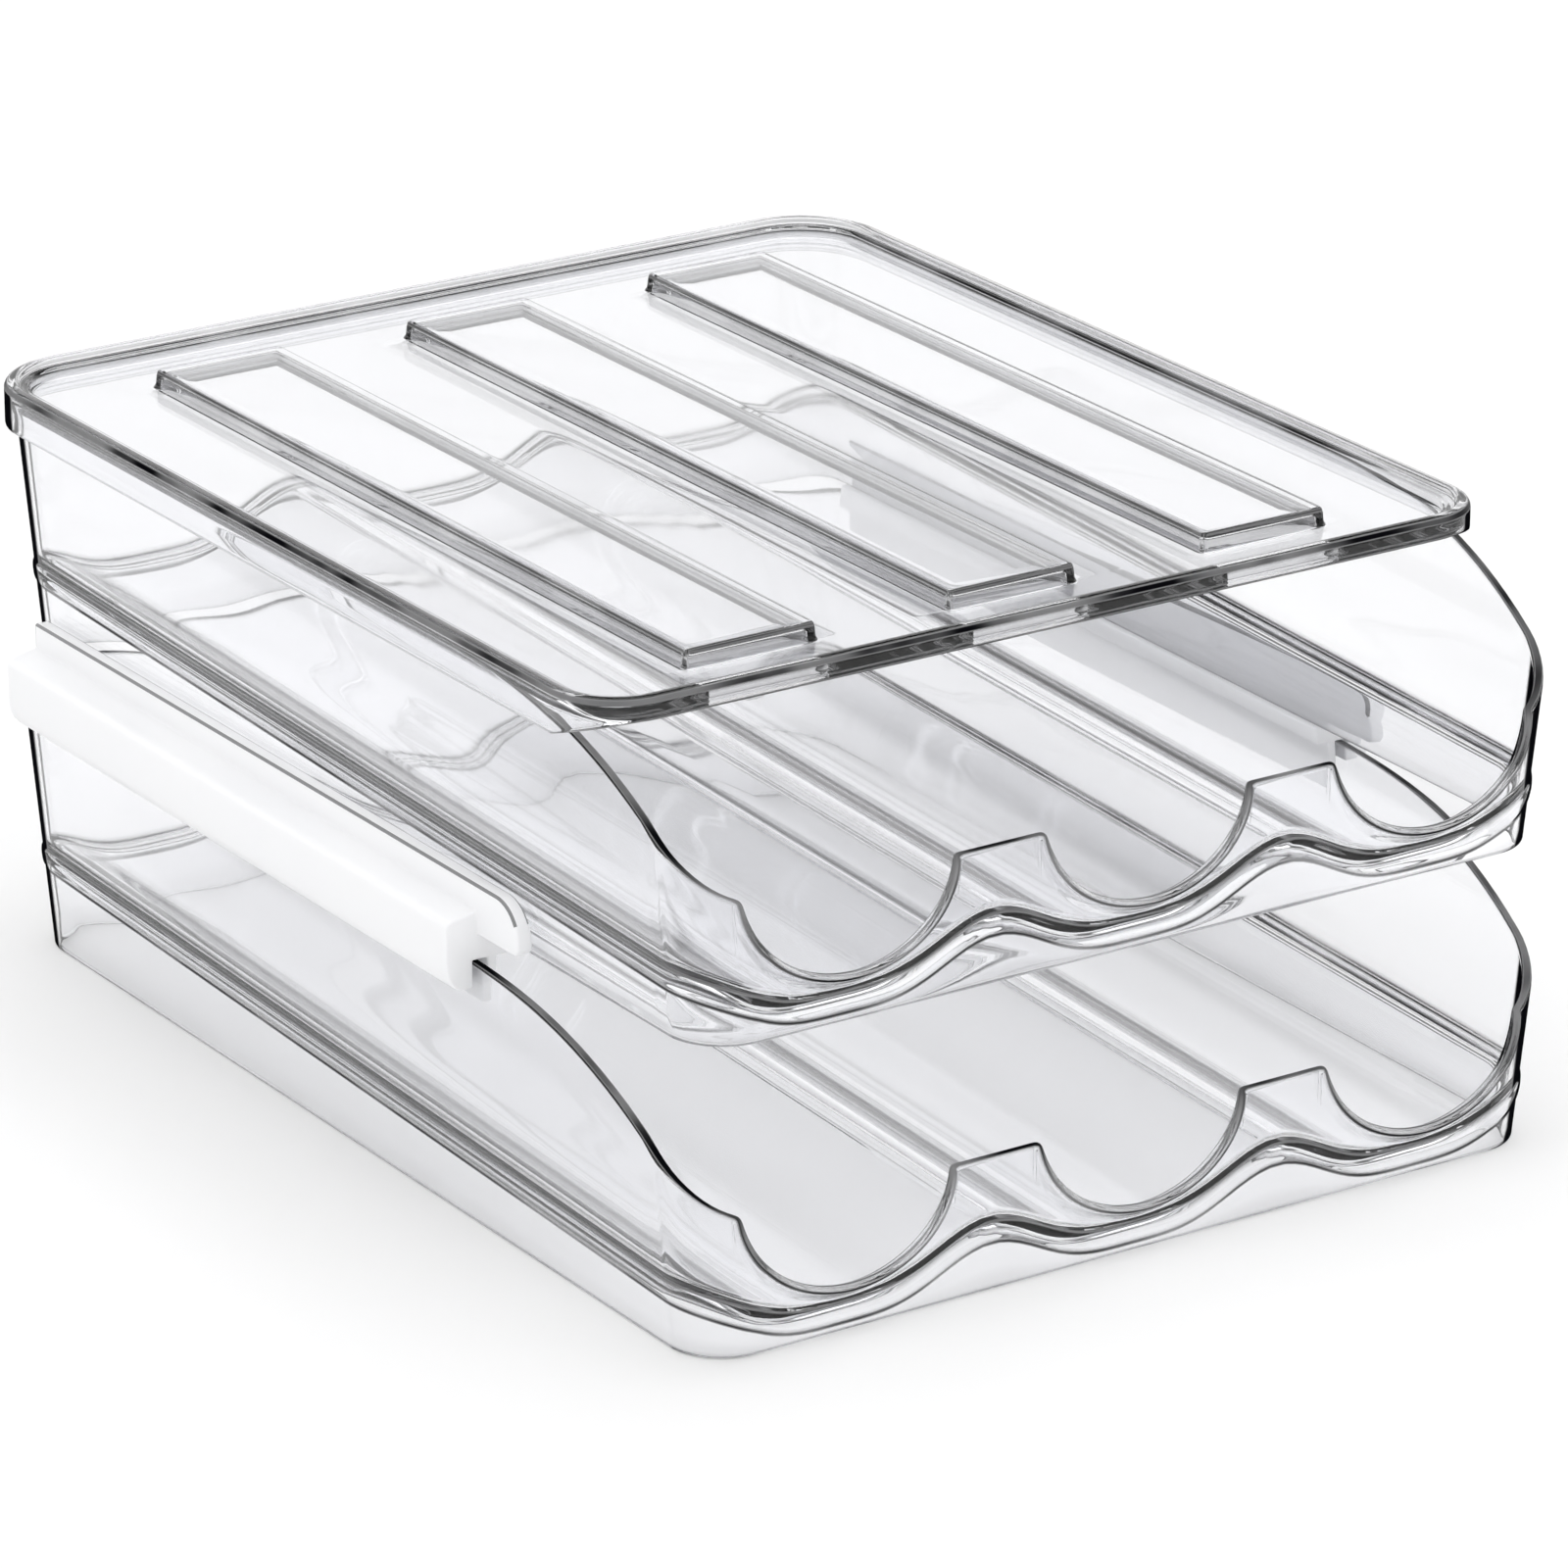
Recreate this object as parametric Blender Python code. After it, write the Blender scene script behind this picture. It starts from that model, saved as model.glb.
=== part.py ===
"""Two-tier egg holder tray: a lower and an upper bin with three rolling lanes each, the two
side brackets that stack the bins, and the lid of the upper bin.

Units are metres, +Z is up, +X is to the right and the open front of the bins looks along -Y.
The origin is the middle of the footprint, on the surface the lower bin stands on.
"""

import math

import bmesh
import bpy
from mathutils import Vector

# ---- driving dimensions --------------------------------------------------------------------
LANE_PITCH = 0.0685            # one hen's egg lying across, with room to roll
BIN_HALF_WIDTH = 0.100         # outside, at the bottom edge
BIN_DEPTH = 0.261              # outside, at the bottom edge: six eggs
BIN_HEIGHT = 0.0593
BIN_CORNER = 0.012             # outside corner radius at the bottom edge
BIN_WALL = 0.002
DRAFT = 0.0875                 # the walls lean out by five degrees
TIER_PITCH = 0.064             # bottom of one bin to the bottom of the next
FIT_GAP = 0.0003               # between pieces that touch

FRONT_EDGE = -0.1315           # bottom front edge of the bins
BACK_EDGE = FRONT_EDGE + BIN_DEPTH

FLOOR_THICKNESS = 0.0022
FLOOR_LOW = 0.0068             # top of the floor in a gutter, at the front wall
FLOOR_FALL = 0.0346            # rise of the floor for each metre towards the back
RIDGE_HEIGHT = 0.0085          # ridges between the gutters

SIDE_DROP_START = FRONT_EDGE + 0.085   # the side wall's top edge sweeps down from here
SIDE_DROP_END = FRONT_EDGE - 0.0027
SIDE_DROP_POWER = 2.7
FRONT_WALL_TOP = 0.0293
SCOOP_HALF_WIDTH = 0.0238      # the finger cut-out in front of each lane
SCOOP_DEPTH = 0.0200
LIP_THICKNESS = 0.0020         # the rolled lip round each cut-out
LIP_REACH = 0.0050             # furthest forward of the bottom front edge
LIP_ROOT = 0.0012              # how far behind the bottom front edge the lips start
LIP_FULLEST = 0.0090           # height at which a lip reaches furthest

LID_FRONT = FRONT_EDGE + 0.027
LID_SKIRT = 0.0016
LID_SKIRT_BOTTOM = 0.1165      # at the sides and back; the front edge is higher
LID_FRONT_BOTTOM = 0.1210
LID_RIM_TOP = 0.1258
LID_RIM_WIDTH = 0.0065
LID_PLATE_BOTTOM = 0.1208
LID_PLATE_TOP = 0.1226
LID_PLATE_INSET = 0.0043       # the plate's edge, inside the groove for the bin's rim
LID_PLATE_FRONT = LID_FRONT + 0.0005
LID_RECESS_FRONT = LID_FRONT + 0.0045
LID_CORNER = 0.015
LID_CORNER_LEAST = 0.004
PANEL_PITCH = 0.0607
PANEL_WIDTH = 0.0307
PANEL_FRONT = FRONT_EDGE + 0.0432
PANEL_BACK = FRONT_EDGE + 0.2464
PANEL_TOP = 0.1264
PANEL_WALL = 0.0018

BRACKET_FRONT = FRONT_EDGE + 0.0727
BRACKET_BACK = FRONT_EDGE + 0.248
BRACKET_NOSE = FRONT_EDGE + 0.0575   # the upper plate runs on past the grip
BRACKET_PLATE = (0.1014, 0.1047)     # inner and outer face of the upper plate
BRACKET_TOP = 0.0753
BRACKET_NOSE_BOTTOM = 0.0650
BRACKET_NOSE_RADIUS = 0.008
BRACKET_GRIP = 0.1115                # outermost face of the grip
GRIP_BOTTOM = 0.0539
GRIP_FACE = (0.0582, 0.0687)         # lower and upper edge of the grip's outer face
GRIP_SHOULDER = 0.0699               # where the grip runs into the upper plate
GRIP_UNDERSIDE = (0.1055, 0.1081)    # its flat bottom, from the inner face to the slope
CLIP_INSIDE = (0.0972, 0.1001)       # ledge edge, and the clip leg inside the bin's rim
CLIP_OUTSIDE = 0.1021                # outer face of the clip leg
CLIP_BOTTOM = 0.0505

CORNER_STEPS = 5
WAVE_STEPS = 36
SWEEP_STEPS = 14
SCOOP_STEPS = 12
NOSE_STEPS = 6
OVERLAP = 0.0008               # how far joined solids run into each other
HAIR = 0.0001                  # keeps two faces from lying in one plane
ROOM = 0.010                   # how far a cutter runs on past what it cuts
CUT_HALF = 0.120               # half the length of a cutter that crosses the whole tray
LANES = (-1, 0, 1)

CLEAR_PLASTIC = ((0.93, 0.95, 0.98, 1.0), 0.08)
WHITE_PLASTIC = ((0.93, 0.93, 0.94, 1.0), 0.30)


# ---- scene and helpers -----------------------------------------------------------------------
def clear_scene():
    for old in list(bpy.data.objects):
        bpy.data.objects.remove(old, do_unlink=True)


def make_collection(name):
    collection = bpy.data.collections.new(name)
    bpy.context.scene.collection.children.link(collection)
    return collection


def make_material(name, look):
    colour, roughness = look
    material = bpy.data.materials.new(name)
    material.use_nodes = True
    shader = material.node_tree.nodes["Principled BSDF"]
    shader.inputs["Base Color"].default_value = colour
    shader.inputs["Roughness"].default_value = roughness
    shader.inputs["Metallic"].default_value = 0.0
    return material


def add_object(name, bm, collection, material=None):
    bmesh.ops.recalc_face_normals(bm, faces=bm.faces[:])
    mesh = bpy.data.meshes.new(name)
    bm.to_mesh(mesh)
    bm.free()
    obj = bpy.data.objects.new(name, mesh)
    collection.objects.link(obj)
    if material:
        mesh.materials.append(material)
    return obj


def add_cutter(name, bm):
    obj = add_object(name, bm, cutters)
    obj.hide_render = True
    obj.display_type = 'WIRE'
    return obj


def boolean(obj, tool, operation):
    modifier = obj.modifiers.new(tool.name, 'BOOLEAN')
    modifier.object = tool
    modifier.operation = operation
    modifier.solver = 'EXACT'


def prism(outline, direction):
    """Extrude a closed outline of 3-D points along a direction."""
    bm = bmesh.new()
    face = bm.faces.new([bm.verts.new(point) for point in outline])
    top = bmesh.ops.extrude_face_region(bm, geom=[face])["geom"]
    moved = [item for item in top if isinstance(item, bmesh.types.BMVert)]
    bmesh.ops.translate(bm, verts=moved, vec=direction)
    return bm


def rounded_rectangle(half_width, front, back, front_radius, back_radius):
    """Points round a rectangle with arcs at its corners, and the outward direction of each."""
    corners = (
        (half_width, front, front_radius, -90),
        (half_width, back, back_radius, 0),
        (-half_width, back, back_radius, 90),
        (-half_width, front, front_radius, 180),
    )
    points = []
    for x, y, radius, start in corners:
        centre_x = x - math.copysign(radius, x)
        centre_y = y + radius if y == front else y - radius
        for step in range(CORNER_STEPS + 1):
            angle = math.radians(start + 90 * step / CORNER_STEPS)
            way = Vector((math.cos(angle), math.sin(angle), 0))
            points.append((Vector((centre_x, centre_y, 0)) + way * radius, way))
    return points


def drafted_prism(outline, low, high, inset, draft=DRAFT):
    """A solid on an outline, its sides leaning out with height, drawn in by an inset."""
    bm = bmesh.new()
    rings = []
    for z in (low, high):
        grow = draft * z - inset
        rings.append([bm.verts.new(point + way * grow + Vector((0, 0, z)))
                      for point, way in outline])
    bm.faces.new(rings[0])
    bm.faces.new(rings[1])
    count = len(outline)
    for i in range(count):
        j = (i + 1) % count
        bm.faces.new((rings[0][i], rings[0][j], rings[1][j], rings[1][i]))
    return bm


# ---- bins --------------------------------------------------------------------------------------
def floor_height(x):
    """Top of the floor above its low line: three gutters with a ridge between each two."""
    return RIDGE_HEIGHT * math.sin(math.pi * x / LANE_PITCH) ** 4


def floor_block(name, drop, far_side):
    """The space above or below the floor's surface: a wavy prism that follows its fall."""
    half = BIN_HALF_WIDTH + ROOM
    start, end = FRONT_EDGE - ROOM, BACK_EDGE + 1.5 * ROOM
    outline = []
    for step in range(WAVE_STEPS + 1):
        x = half * (2 * step / WAVE_STEPS - 1)
        z = FLOOR_LOW + floor_height(x) - drop + FLOOR_FALL * (start - FRONT_EDGE)
        outline.append((x, start, z))
    outline += [(half, start, far_side), (-half, start, far_side)]
    bm = prism(outline, Vector((0, end - start, FLOOR_FALL * (end - start))))
    return add_cutter(name, bm)


def side_profile(y):
    """Height of the side wall's top edge: level at the back, sweeping down to the front."""
    share = (SIDE_DROP_START - y) / (SIDE_DROP_START - SIDE_DROP_END)
    return BIN_HEIGHT - (BIN_HEIGHT - FRONT_WALL_TOP) * share ** SIDE_DROP_POWER


def across(outline):
    """A prism that crosses the whole tray, on an outline of y and z."""
    return prism([(-CUT_HALF, y, z) for y, z in outline], Vector((2 * CUT_HALF, 0, 0)))


def side_sweep(name):
    """Takes the front of the walls down to the swept edge."""
    above = BIN_HEIGHT + 2 * ROOM
    outline = [(SIDE_DROP_START, BIN_HEIGHT + HAIR)]
    for step in range(1, SWEEP_STEPS + 1):
        y = SIDE_DROP_START + (SIDE_DROP_END - SIDE_DROP_START) * step / SWEEP_STEPS
        outline.append((y, side_profile(y)))
    outline += [(SIDE_DROP_END - ROOM, FRONT_WALL_TOP), (SIDE_DROP_END - ROOM, above),
                (SIDE_DROP_START, above)]
    return add_cutter(name, across(outline))


def scoop_outline(centre, grow, y, rise):
    """Half an ellipse hanging from the front wall's top edge, with a straight head above it."""
    points = [(centre + SCOOP_HALF_WIDTH + grow, y, FRONT_WALL_TOP + rise)]
    for step in range(SCOOP_STEPS + 1):
        angle = math.pi * step / SCOOP_STEPS
        points.append((centre + (SCOOP_HALF_WIDTH + grow) * math.cos(angle), y,
                       FRONT_WALL_TOP - (SCOOP_DEPTH + grow) * math.sin(angle)))
    points.append((centre - SCOOP_HALF_WIDTH - grow, y, FRONT_WALL_TOP + rise))
    return points if rise else points[1:-1]


def lip_shaper(name):
    """The lips stand furthest out at the bottom and die away at the wall's top edge."""
    furthest = FRONT_EDGE - LIP_REACH
    root = FRONT_EDGE + 0.0010
    top = FRONT_WALL_TOP + 0.0010
    outline = [(root, 0.0), (furthest + 0.0012, 0.0), (furthest, LIP_FULLEST),
               (furthest + 0.0005, 0.0200), (FRONT_EDGE - 0.0028, top), (root, top)]
    return add_cutter(name, across(outline))


def make_bin(name, base, material):
    outline = rounded_rectangle(BIN_HALF_WIDTH, FRONT_EDGE, BACK_EDGE, BIN_CORNER, BIN_CORNER)
    body = add_object(name, drafted_prism(outline, 0, BIN_HEIGHT, 0), parts, material)

    shaper = lip_shaper(name + "_lip_shaper")
    for lane in LANES:
        lip = prism(scoop_outline(lane * LANE_PITCH, LIP_THICKNESS, FRONT_EDGE + LIP_ROOT, 0),
                    Vector((0, -ROOM, 0)))
        nose = add_cutter("%s_lip_%d" % (name, lane + 2), lip)
        boolean(nose, shaper, 'INTERSECT')
        boolean(body, nose, 'UNION')
        nose.location.z = base

    inside = add_cutter(name + "_inside", drafted_prism(outline, 0.001, 0.075, BIN_WALL))
    boolean(inside, floor_block(name + "_above_floor", 0, 0.090), 'INTERSECT')
    below = add_cutter(name + "_underside", drafted_prism(outline, -0.010, 0.050, BIN_WALL))
    boolean(below, floor_block(name + "_below_floor", FLOOR_THICKNESS, -0.030), 'INTERSECT')
    boolean(body, inside, 'DIFFERENCE')
    boolean(body, below, 'DIFFERENCE')
    boolean(body, side_sweep(name + "_sweep"), 'DIFFERENCE')

    for lane in LANES:
        scoop = prism(scoop_outline(lane * LANE_PITCH, 0, FRONT_EDGE - ROOM, ROOM),
                      Vector((0, 1.6 * ROOM, 0)))
        boolean(body, add_cutter("%s_scoop_%d" % (name, lane + 2), scoop), 'DIFFERENCE')

    for obj in list(cutters.objects):
        if obj.name.startswith(name):
            obj.location.z = base
    body.location.z = base
    return body


# ---- lid ---------------------------------------------------------------------------------------
def lid_outline(inset, front=LID_FRONT):
    """The lid's plan, drawn in by an inset; uninset it is the outside of the skirt."""
    grow = DRAFT * BIN_HEIGHT + FIT_GAP + LID_SKIRT - inset
    half = BIN_HALF_WIDTH + grow
    back = BACK_EDGE + grow
    return rounded_rectangle(half, front, back, max(LID_CORNER - inset, LID_CORNER_LEAST),
                             BIN_CORNER + grow)


def panel_block(centre, wall, low, high):
    half = PANEL_WIDTH / 2 - wall
    front, back = PANEL_FRONT + wall, PANEL_BACK - wall
    outline = [(centre - half, front, low), (centre + half, front, low),
               (centre + half, back, low), (centre - half, back, low)]
    return prism(outline, Vector((0, 0, high - low)))


def make_lid(name, material):
    def slab(inset, low, high, front=LID_FRONT):
        return drafted_prism(lid_outline(inset, front), low, high, 0, draft=0)

    lid = add_object(name, slab(0, LID_SKIRT_BOTTOM, LID_RIM_TOP), parts, material)
    roof = UPPER_RIM + FIT_GAP
    far_below = LID_SKIRT_BOTTOM - 1.65 * ROOM
    hollow = slab(LID_SKIRT, far_below, roof, LID_FRONT + LID_SKIRT)
    boolean(lid, add_cutter(name + "_hollow", hollow), 'DIFFERENCE')
    plate = slab(LID_PLATE_INSET, LID_PLATE_BOTTOM, roof + OVERLAP, LID_PLATE_FRONT)
    boolean(lid, add_cutter(name + "_plate", plate), 'UNION')
    recess = slab(LID_RIM_WIDTH, LID_PLATE_TOP, LID_RIM_TOP + ROOM, LID_RECESS_FRONT)
    boolean(lid, add_cutter(name + "_recess", recess), 'DIFFERENCE')

    for number, lane in enumerate(LANES, 1):
        block = panel_block(lane * PANEL_PITCH, 0, LID_PLATE_TOP - OVERLAP, PANEL_TOP)
        boolean(lid, add_cutter("%s_panel_%d" % (name, number), block), 'UNION')
    for number, lane in enumerate(LANES, 1):
        block = panel_block(lane * PANEL_PITCH, PANEL_WALL, far_below, PANEL_TOP - PANEL_WALL)
        boolean(lid, add_cutter("%s_panel_hollow_%d" % (name, number), block), 'DIFFERENCE')

    ahead, behind = LID_FRONT - ROOM, LID_FRONT + LID_CORNER
    relief = [(ahead, LID_FRONT_BOTTOM), (ahead, far_below), (behind, far_below),
              (behind, LID_SKIRT_BOTTOM), (LID_PLATE_FRONT, LID_FRONT_BOTTOM)]
    boolean(lid, add_cutter(name + "_front_relief", across(relief)), 'DIFFERENCE')
    return lid


# ---- brackets ----------------------------------------------------------------------------------
def bracket_profile(side):
    """Section across one bracket: clip over the lower rim, ledge and plate for the upper bin."""
    web_low = BIN_HEIGHT + FIT_GAP
    web_high = TIER_PITCH - FIT_GAP
    plate_in, plate_out = BRACKET_PLATE
    ledge, leg = CLIP_INSIDE
    grip_in, grip_slope = GRIP_UNDERSIDE
    section = [
        (ledge, web_high), (ledge, web_low), (leg, web_low), (leg, CLIP_BOTTOM),
        (CLIP_OUTSIDE, CLIP_BOTTOM), (CLIP_OUTSIDE, web_low), (grip_in, web_low),
        (grip_in, GRIP_BOTTOM), (grip_slope, GRIP_BOTTOM), (BRACKET_GRIP, GRIP_FACE[0]),
        (BRACKET_GRIP, GRIP_FACE[1]), (plate_out, GRIP_SHOULDER), (plate_out, BRACKET_TOP),
        (plate_in, BRACKET_TOP), (plate_in, web_high),
    ]
    return [(side * x, BRACKET_FRONT, z) for x, z in section]


def bracket_nose(side):
    """The rounded front end of the upper plate."""
    plate_in, plate_out = BRACKET_PLATE
    x = side * (plate_in + HAIR)
    top = BRACKET_TOP - HAIR
    root = BRACKET_FRONT + ROOM
    radius = BRACKET_NOSE_RADIUS
    outline = [(x, root, BRACKET_NOSE_BOTTOM), (x, BRACKET_NOSE, BRACKET_NOSE_BOTTOM)]
    for step in range(NOSE_STEPS + 1):
        angle = math.pi / 2 * step / NOSE_STEPS
        outline.append((x, BRACKET_NOSE + radius * (1 - math.cos(angle)),
                        top - radius * (1 - math.sin(angle))))
    outline.append((x, root, top))
    return prism(outline, Vector((side * (plate_out - plate_in - 2 * HAIR), 0, 0)))


def make_bracket(name, side, material):
    length = BRACKET_BACK - BRACKET_FRONT
    bracket = add_object(name, prism(bracket_profile(side), Vector((0, length, 0))), parts,
                         material)
    boolean(bracket, add_cutter(name + "_nose", bracket_nose(side)), 'UNION')
    return bracket


# ---- assembly ----------------------------------------------------------------------------------
UPPER_RIM = TIER_PITCH + BIN_HEIGHT

clear_scene()
parts = make_collection("egg_holder_tray")
cutters = make_collection("cutters")

clear_plastic = make_material("clear_plastic", CLEAR_PLASTIC)
white_plastic = make_material("white_plastic", WHITE_PLASTIC)

make_bin("lower_tray", 0, clear_plastic)
make_bin("upper_tray", TIER_PITCH, clear_plastic)
make_lid("lid", clear_plastic)
make_bracket("left_bracket", -1, white_plastic)
make_bracket("right_bracket", 1, white_plastic)
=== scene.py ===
"""Looks of the two-tier egg holder tray: clear bins and lid with rounded, polished edges, and
the two white side brackets, on a pale floor in soft studio light.

Shapes are worked out in millimetres in the frame of the CAD model: +Z up, the open front of the
bins towards -Y. Each clear piece is one closed skin, so that light bends through it as it does
through moulded plastic.
"""

import math

import bmesh
import bpy
import numpy as np
from mathutils import Euler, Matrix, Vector


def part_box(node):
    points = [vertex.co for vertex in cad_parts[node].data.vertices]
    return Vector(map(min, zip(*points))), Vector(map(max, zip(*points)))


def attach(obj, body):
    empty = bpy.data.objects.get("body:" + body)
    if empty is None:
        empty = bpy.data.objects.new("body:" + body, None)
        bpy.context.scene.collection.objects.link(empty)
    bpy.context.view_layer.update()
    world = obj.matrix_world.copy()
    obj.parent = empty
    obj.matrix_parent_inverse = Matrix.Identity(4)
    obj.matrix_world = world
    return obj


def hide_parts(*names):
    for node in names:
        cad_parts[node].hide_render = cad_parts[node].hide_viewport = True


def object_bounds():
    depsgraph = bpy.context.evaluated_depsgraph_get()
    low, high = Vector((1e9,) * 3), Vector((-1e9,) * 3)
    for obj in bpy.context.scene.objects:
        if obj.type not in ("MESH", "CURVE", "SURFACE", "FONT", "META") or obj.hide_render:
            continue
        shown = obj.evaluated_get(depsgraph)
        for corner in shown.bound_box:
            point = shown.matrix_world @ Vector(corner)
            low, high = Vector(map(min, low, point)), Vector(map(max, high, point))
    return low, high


MM = 0.001
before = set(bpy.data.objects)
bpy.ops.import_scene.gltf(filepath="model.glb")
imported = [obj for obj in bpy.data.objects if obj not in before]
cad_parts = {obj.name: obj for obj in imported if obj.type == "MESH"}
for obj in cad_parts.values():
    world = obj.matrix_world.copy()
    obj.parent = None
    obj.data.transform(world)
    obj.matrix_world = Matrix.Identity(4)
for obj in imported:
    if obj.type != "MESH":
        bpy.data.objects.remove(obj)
cad_box = [list(corner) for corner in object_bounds()]

# ---- sizes, in millimetres -------------------------------------------------------------------
LOWER = [[v / MM for v in corner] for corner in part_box("lower_tray")]
UPPER = [[v / MM for v in corner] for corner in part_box("upper_tray")]
LID = [[v / MM for v in corner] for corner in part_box("lid")]

DRAFT = 0.0875                 # the walls lean out by five degrees
BIN_HEIGHT = LOWER[1][2]
RIM_GROWTH = DRAFT * BIN_HEIGHT
BIN_HALF = LOWER[1][0] - RIM_GROWTH      # half the width at the bottom edge
BIN_BACK = LOWER[1][1] - RIM_GROWTH      # bottom back edge
BIN_FRONT = BIN_BACK - 261.0             # bottom front edge
BIN_CORNER = 12.0
WALL = 2.0
LANE_PITCH = 68.5
TIER = UPPER[0][2] - LOWER[0][2]

FLOOR_LOW = 6.8                # floor of a gutter at the front wall
FLOOR_FALL = 0.0346
FLOOR_THICKNESS = 2.2
RIDGE = 8.5
RIDGE_FLAT = 0.99              # share of the ridge's height where its flat crest starts
BAND_HEIGHT = 4.7              # the thick band where floor and wall meet
BAND_SWELL = 0.45

SWEEP_START = 85.0             # behind the bottom front edge
SWEEP_END = -2.7
SWEEP_POWER = 2.7
FRONT_TOP = 29.3
SCOOP_HALF = 23.8
SCOOP_DEPTH = 20.0
LIP_REACH = 3.85
LIP_RISE = 2.4

LID_SKIRT = 1.6
LID_FRONT = LID[0][1]
LID_BACK = LID[1][1]
LID_HALF = LID[1][0]
LID_LOW = LID[0][2]
LID_FRONT_LOW = 121.0
LID_FRONT_CORNER = 15.0
LID_BACK_CORNER = BIN_CORNER + RIM_GROWTH + 1.9
PLATE_TOP = 122.6
PLATE_LOW = 120.8
GROOVE_TOP = 123.6
PANEL_PITCH = 60.7
PANEL_HALF = 15.35
PANEL_FRONT = BIN_FRONT + 43.2
PANEL_BACK = BIN_FRONT + 246.4
PANEL_RISE = LID[1][2] - PLATE_TOP
LANES = (-1, 0, 1)
WELD = 0.0000004               # metres: points nearer than this are one
SLIVER = 0.0000002             # metres: edges shorter than this are dropped
CORNER_RISE = 20.0             # brings corner_share to 1 within a few degrees of arc

RIM_STEP = 0.1                 # spacing of the even points that the front rim is laid out on
BLUR_REACH = 30                # in those steps, either side: rounds the corners of the scoops
BLUR_WIDTH = 8.0
CREST_EDGE = 1.7               # from the middle of a ridge to the painted dark line, painted shade, on each side of it
CREST_LINES = (-2.1, -CREST_EDGE, -1.3, 1.3, CREST_EDGE, 2.1)
SIDE_LINES = 62                # grid lines along a side wall, and round a back corner
BACK_ARC_LINES = 13

FLOOR_RINGS = (-BIN_CORNER, -10.0, -8.0, -6.2)     # offsets in from the wall's bottom edge
UNDER_RINGS = (-6.9, -8.0, -10.0, -BIN_CORNER)
WALL_SHARES = (0.04, 0.25, 0.5, 0.75)              # of the height between floor and rim
# painted shade across the cap of a plain rim, the cap of a lip and the thick band: dark lines in
# place of the dark refraction of polished plastic
WALL_CAP_DARK = (0.2, 0.6, 1.0, 1.0, 1.0, 1.0, 1.0, 0.6, 0.2)
LIP_CAP_DARK = (0.6, 1.0, 0.6, 0.2, 0.2, 0.4, 1.0, 1.0, 0.4)
BAND_DARK = (0.9, 0.5, 0.0, 0.0, 0.0, 0.0, 0.0, 0.5, 0.9)
FOOT_RINGS = (                 # offset out, height and painted shade round the bottom edge
    (0.0, 0.45, 0.25), (-0.12, 0.12, 0.7), (-0.45, 0.0, 0.25),
    (-WALL + 0.45, 0.0, 0.0), (-WALL + 0.12, 0.12, 0.5))


# ---- mesh helpers ----------------------------------------------------------------------------
def smoothstep(low, high, value):
    share = np.clip((value - low) / (high - low), 0.0, 1.0)
    return share * share * (3.0 - 2.0 * share)


def corner_share(way_x, way_y):
    """1 where a wall turns a corner, 0 along its straight runs."""
    return np.clip(CORNER_RISE * np.abs(way_x * way_y), 0.0, 1.0)


def add_object(name, mesh):
    obj = bpy.data.objects.new(name, mesh)
    bpy.context.scene.collection.objects.link(obj)
    return obj


class Skin:
    """Collects grids of points and welds them into one mesh. Each point carries its painted
    shade, the dark lines along polished edges, and how much it is on an upright corner."""

    def __init__(self):
        self.points = []
        self.edges = []
        self.corners = []
        self.faces = []

    def add_grid(self, points, edges, corners, closed):
        """points is rows x columns x 3. The columns close up if closed is true."""
        rows, columns = points.shape[:2]
        start = sum(len(block) for block in self.points)
        self.points.append(points.reshape(-1, 3))
        self.edges.append(np.broadcast_to(edges, (rows, columns)).reshape(-1))
        self.corners.append(np.broadcast_to(corners, (rows, columns)).reshape(-1))
        last = columns if closed else columns - 1
        for row in range(rows - 1):
            for column in range(last):
                after = (column + 1) % columns
                self.faces.append((start + row * columns + column,
                                   start + row * columns + after,
                                   start + (row + 1) * columns + after,
                                   start + (row + 1) * columns + column))

    def make(self, name, lift=0.0):
        points = np.concatenate(self.points) + np.array([0.0, 0.0, lift])
        mesh = bpy.data.meshes.new(name)
        mesh.from_pydata((points * MM).tolist(), [], self.faces)
        # the "edge" layer holds painted shade: the dark lines drawn along the polished edges
        for layer_name, blocks in (("edge", self.edges), ("corner", self.corners)):
            layer = mesh.attributes.new(layer_name, 'FLOAT', 'POINT')
            layer.data.foreach_set("value", np.concatenate(blocks).astype(np.float32))
        bm = bmesh.new()
        bm.from_mesh(mesh)
        bmesh.ops.remove_doubles(bm, verts=bm.verts[:], dist=WELD)
        bmesh.ops.dissolve_degenerate(bm, edges=bm.edges[:], dist=SLIVER)
        bmesh.ops.recalc_face_normals(bm, faces=bm.faces[:])
        for face in bm.faces:
            face.smooth = True
        bm.to_mesh(mesh)
        bm.free()
        return add_object(name, mesh)


def merge_lines(*groups, least):
    """Sorted grid lines without near repeats."""
    values = np.unique(np.concatenate([np.asarray(group, float) for group in groups]))
    kept = [values[0]]
    for value in values[1:]:
        if value - kept[-1] > least:
            kept.append(value)
    return np.array(kept)


# ---- bins ------------------------------------------------------------------------------------
ARC_RADIUS = 13.5              # the wall's corner radius at mid height, for lengths round it
ARC_START = BIN_HALF - BIN_CORNER
ARC_END = ARC_START + ARC_RADIUS * math.pi / 2


def plan_point(along):
    """Bottom outside edge and outward direction at a distance along the front wall, wrapped
    round the front corners."""
    side = np.sign(along)
    angle = np.clip(np.abs(along) - ARC_START, 0.0, None) / ARC_RADIUS
    way_x = side * np.sin(angle)
    way_y = -np.cos(angle)
    x = np.where(np.abs(along) <= ARC_START, along, side * ARC_START + BIN_CORNER * way_x)
    y = BIN_FRONT + BIN_CORNER * (1.0 + way_y)
    return x, y, way_x, way_y


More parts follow.
